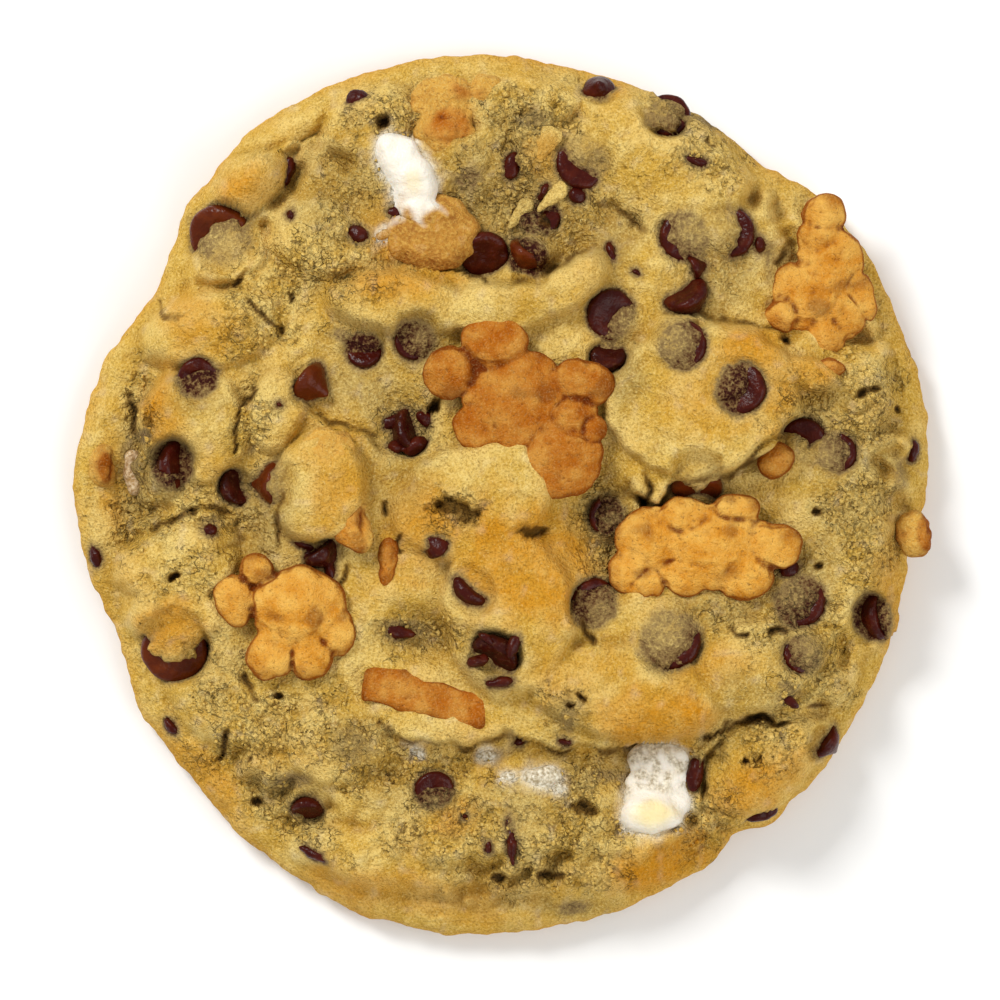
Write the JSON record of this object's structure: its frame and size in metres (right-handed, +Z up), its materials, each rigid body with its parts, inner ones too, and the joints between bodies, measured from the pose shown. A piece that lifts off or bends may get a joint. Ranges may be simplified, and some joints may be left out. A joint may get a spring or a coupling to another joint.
{
  "type": "smores cookie",
  "caption": "Large round soft-baked cookie with a craggy top, baked-in bear-shaped graham biscuits, melted marshmallow and chocolate chips, and a flat underside.",
  "frame": {"origin": "middle of the flat underside, on the surface that the cookie rests on", "axes": "+Z up out of the craggy top, +Y towards the top of the picture, +X towards its right"},
  "size_m": [0.1014, 0.1036, 0.0183],
  "materials": {
    "cookie_dough": "baked soft dough, pale straw with golden high spots, matt and crumbly",
    "chocolate": "dark chocolate, semi-gloss, part melted",
    "graham_biscuit": "baked graham biscuit, orange-brown with lighter faces, matt",
    "marshmallow": "melted marshmallow, off-white with toasted patches, satin"
  },
  "bodies": {
    "root": {"biscuit_centre": "graham_biscuit", "biscuit_right": "graham_biscuit", "biscuit_left": "graham_biscuit", "biscuit_upper_right": "graham_biscuit", "biscuit_top": "graham_biscuit", "biscuit_mound": "graham_biscuit", "biscuit_bit_right": "graham_biscuit", "biscuit_bit_upper": "graham_biscuit", "biscuit_bit_inner": "graham_biscuit", "biscuit_bit_edge": "graham_biscuit", "biscuit_bit_tab": "graham_biscuit", "biscuit_on_edge": "graham_biscuit", "marshmallow_upper": "marshmallow", "marshmallow_toasted": "marshmallow", "marshmallow_lower": "marshmallow", "marshmallow_pool_right": "marshmallow", "marshmallow_pool_tab": "marshmallow", "chip_01": "chocolate", "chip_02": "chocolate", "chip_03": "chocolate", "chip_04": "chocolate", "chip_05": "chocolate", "chip_06": "chocolate", "chip_07": "chocolate", "chip_08": "chocolate", "chip_09": "chocolate", "chip_10": "chocolate", "chip_11": "chocolate", "chip_12": "chocolate", "chip_13": "chocolate", "chip_14": "chocolate", "chip_15": "chocolate", "chip_16": "chocolate", "chip_17": "chocolate", "chip_18": "chocolate", "chip_19": "chocolate", "chip_20": "chocolate", "chip_21": "chocolate", "chip_22": "chocolate", "chip_23": "chocolate", "chip_24": "chocolate", "chip_25": "chocolate", "chip_26": "chocolate", "chip_27": "chocolate", "chip_28": "chocolate", "chip_29": "chocolate", "chip_30": "chocolate", "chip_31": "chocolate", "chip_32": "chocolate", "chip_33": "chocolate", "chip_34": "chocolate", "chip_35": "chocolate", "chip_36": "chocolate", "chip_37": "chocolate", "chip_38": "chocolate", "chip_39": "chocolate", "chip_40": "chocolate", "dough": "cookie_dough"}
  },
  "joints": []
}
